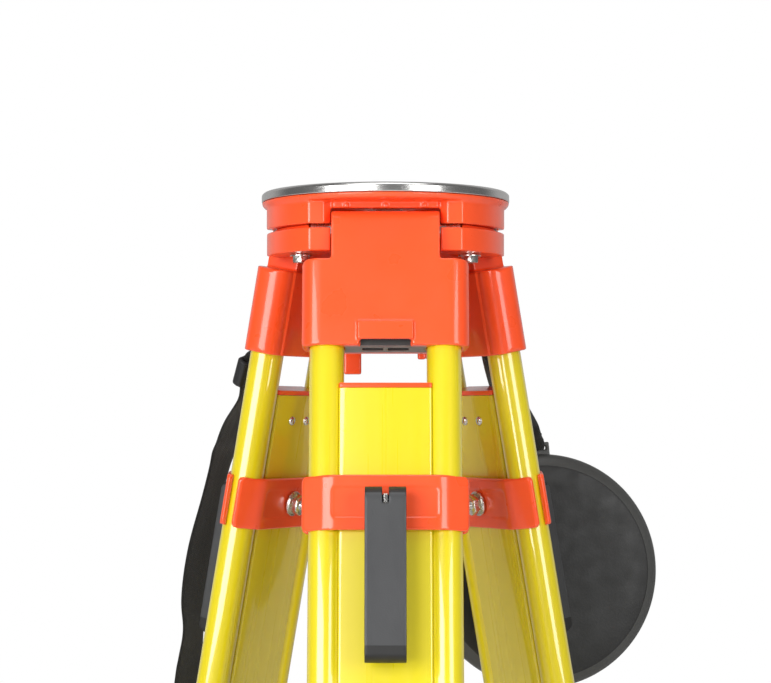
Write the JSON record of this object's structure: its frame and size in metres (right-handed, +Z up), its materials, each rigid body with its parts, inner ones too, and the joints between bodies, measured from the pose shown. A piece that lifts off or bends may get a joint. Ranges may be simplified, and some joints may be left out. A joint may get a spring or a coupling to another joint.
{
  "type": "surveyor tripod",
  "caption": "Telescoping surveyor tripod with twin-tube legs, quick lever clamps, a flat round head with a fastening screw, and a head cover hung on a strap.",
  "frame": {"origin": "centre of the underside of the standing box, on the ground", "axes": "+Z up, the front leg points along -Y, the right leg to +X +Y, the left leg to -X +Y"},
  "size_m": [0.4966, 0.4452, 1.0449],
  "materials": {
    "orange_paint": "glossy orange-red enamel on cast aluminium",
    "yellow_fibreglass": "glossy yellow",
    "bright_steel": "plated steel",
    "black_plastic": "moulded, fine texture",
    "cover_plastic": "moulded, soft",
    "black_webbing": "woven polypropylene webbing",
    "brass": "machined"
  },
  "bodies": {
    "head": {"head_casting": "orange_paint", "hinge_cap_front_right": "orange_paint", "hinge_cap_front_left": "orange_paint", "hinge_cap_back": "orange_paint", "cap_bolt_front_right": "bright_steel", "cap_bolt_front_left": "bright_steel", "cap_bolt_back": "bright_steel", "front_hinge_shaft": "bright_steel", "right_hinge_shaft": "bright_steel", "left_hinge_shaft": "bright_steel", "arm_pivot": "bright_steel"},
    "front_leg": {"front_hinge_casting": "orange_paint", "front_tube_a": "yellow_fibreglass", "front_tube_b": "yellow_fibreglass", "front_lower_collar": "orange_paint"},
    "front_extension": {"front_extension_bar": "yellow_fibreglass", "front_bar_cap": "orange_paint", "front_clamp_outer_plate": "orange_paint", "front_clamp_inner_plate": "orange_paint", "front_clamp_bolt": "bright_steel", "front_clamp_nut": "bright_steel", "front_foot": "orange_paint", "front_foot_point": "bright_steel"},
    "front_lever": {"front_clamp_lever": "black_plastic"},
    "right_leg": {"right_hinge_casting": "orange_paint", "right_tube_a": "yellow_fibreglass", "right_tube_b": "yellow_fibreglass", "right_lower_collar": "orange_paint", "head_cover": "cover_plastic", "cover_strap": "black_webbing"},
    "right_extension": {"right_extension_bar": "yellow_fibreglass", "right_bar_cap": "orange_paint", "right_clamp_outer_plate": "orange_paint", "right_clamp_inner_plate": "orange_paint", "right_clamp_bolt": "bright_steel", "right_clamp_nut": "bright_steel", "right_foot": "orange_paint", "right_foot_point": "bright_steel"},
    "right_lever": {"right_clamp_lever": "black_plastic"},
    "left_leg": {"left_hinge_casting": "orange_paint", "left_tube_a": "yellow_fibreglass", "left_tube_b": "yellow_fibreglass", "left_lower_collar": "orange_paint", "shoulder_strap": "black_webbing", "strap_buckle": "black_plastic"},
    "left_extension": {"left_extension_bar": "yellow_fibreglass", "left_bar_cap": "orange_paint", "left_clamp_outer_plate": "orange_paint", "left_clamp_inner_plate": "orange_paint", "left_clamp_bolt": "bright_steel", "left_clamp_nut": "bright_steel", "left_foot": "orange_paint", "left_foot_point": "bright_steel"},
    "left_lever": {"left_clamp_lever": "black_plastic"},
    "swing_arm": {"screw_arm": "orange_paint", "arm_guard_left": "orange_paint", "arm_guard_right": "orange_paint"},
    "bushing": {"screw_bushing": "bright_steel"},
    "screw": {"fastening_screw": "brass", "screw_knob": "black_plastic"}
  },
  "joints": [
    {"name": "front_leg_spread", "type": "hinge", "parent": "head", "child": "front_leg", "pos_m": [0, 0.00216, 1.01637], "axis": [-1, 0, 0], "range_deg": [-11, 18]},
    {"name": "front_leg_extend", "type": "slide", "parent": "front_leg", "child": "front_extension", "axis": [0, -0.1908, -0.9816], "range_m": [0, 0.68]},
    {"name": "front_clamp_open", "type": "hinge", "parent": "front_extension", "child": "front_lever", "pos_m": [0, -0.05703, 0.84552], "axis": [-1, 0, 0], "range_deg": [0, 110]},
    {"name": "right_leg_spread", "type": "hinge", "parent": "head", "child": "right_leg", "pos_m": [0.0472, 0.08391, 1.01637], "axis": [0.5, -0.866, 0], "range_deg": [-11, 18]},
    {"name": "right_leg_extend", "type": "slide", "parent": "right_leg", "child": "right_extension", "axis": [0.1652, 0.0954, -0.9816], "range_m": [0, 0.68]},
    {"name": "right_clamp_open", "type": "hinge", "parent": "right_extension", "child": "right_lever", "pos_m": [0.09846, 0.1135, 0.84552], "axis": [0.5, -0.866, 0], "range_deg": [0, 110]},
    {"name": "left_leg_spread", "type": "hinge", "parent": "head", "child": "left_leg", "pos_m": [-0.0472, 0.08391, 1.01637], "axis": [0.5, 0.866, 0], "range_deg": [-11, 18]},
    {"name": "left_leg_extend", "type": "slide", "parent": "left_leg", "child": "left_extension", "axis": [-0.1652, 0.0954, -0.9816], "range_m": [0, 0.68]},
    {"name": "left_clamp_open", "type": "hinge", "parent": "left_extension", "child": "left_lever", "pos_m": [-0.09846, 0.1135, 0.84552], "axis": [0.5, 0.866, 0], "range_deg": [0, 110]},
    {"name": "arm_swing", "type": "hinge", "parent": "head", "child": "swing_arm", "pos_m": [0, 0.09666, 1.02887], "axis": [0, 0, 1], "range_deg": [-12, 12]},
    {"name": "bushing_slide", "type": "slide", "parent": "swing_arm", "child": "bushing", "axis": [0, 1, 0], "range_m": [-0.0075, 0.0075]},
    {"name": "screw_turn", "type": "hinge", "parent": "bushing", "child": "screw", "pos_m": [0, 0.05666, 1.01487], "axis": [0, 0, 1], "continuous": true}
  ]
}
